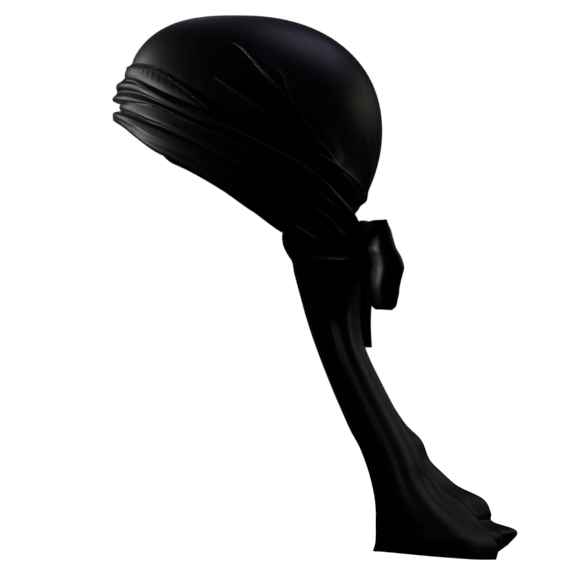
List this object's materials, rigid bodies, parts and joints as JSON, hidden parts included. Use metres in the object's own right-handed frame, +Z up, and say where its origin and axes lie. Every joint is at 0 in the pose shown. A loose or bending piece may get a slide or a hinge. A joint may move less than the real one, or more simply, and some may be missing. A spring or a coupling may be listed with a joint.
{
  "type": "durag",
  "caption": "Silky durag as worn: close cap gathered at the nape, two long straps wrapped round it, crossed on the forehead and tied in a bow behind, with a long fluted tail.",
  "frame": {"origin": "inside of the cap's top, where the top of the head rests", "axes": "+Z up, the wearer faces -Y, and +X is the wearer's left"},
  "size_m": [0.1756, 0.3177, 0.4217],
  "materials": {
    "cap_satin": "black silky satin of the cap and the tail, low broad sheen",
    "strap_satin": "black silky satin of the straps and the bow, folded double and pleated"
  },
  "bodies": {
    "root": {"crown": "cap_satin", "front_band": "cap_satin", "strap_wrap_under": "strap_satin", "strap_wrap_over": "strap_satin", "tail": "cap_satin", "knot": "strap_satin", "bow_loop_left": "strap_satin", "strap_end_left": "strap_satin", "bow_loop_right": "strap_satin", "strap_end_right": "strap_satin"}
  },
  "joints": []
}
